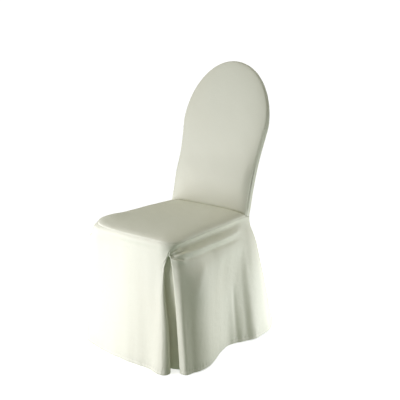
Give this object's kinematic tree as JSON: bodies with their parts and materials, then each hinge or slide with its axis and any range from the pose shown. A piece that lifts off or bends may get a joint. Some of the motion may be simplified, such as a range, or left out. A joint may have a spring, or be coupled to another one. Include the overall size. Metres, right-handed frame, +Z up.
{
  "type": "fitted banquet chair cover with a round-topped back",
  "caption": "Fitted ivory cloth cover for a stacking banquet chair: stretched seat, round-topped back with a gusset strip, and a floor-length skirt with a pleat at each front corner",
  "frame": {"origin": "Middle of the bounding box at floor level.", "axes": "+Z up, the front of the chair towards -Y, +X to the right of someone facing the front view along +Y, so it is the sitter's left."},
  "size_m": [0.5344, 0.6144, 0.9856],
  "materials": {
    "cover_cloth": "smooth matt ivory cloth, finely woven, with a faint sheen"
  },
  "bodies": {
    "root": {"seat_panel": "cover_cloth", "inside_back_panel": "cover_cloth", "back_strip": "cover_cloth", "outside_back_panel": "cover_cloth", "front_skirt_panel": "cover_cloth", "right_skirt_panel": "cover_cloth", "left_skirt_panel": "cover_cloth", "right_pleat_insert": "cover_cloth", "left_pleat_insert": "cover_cloth"}
  },
  "joints": []
}
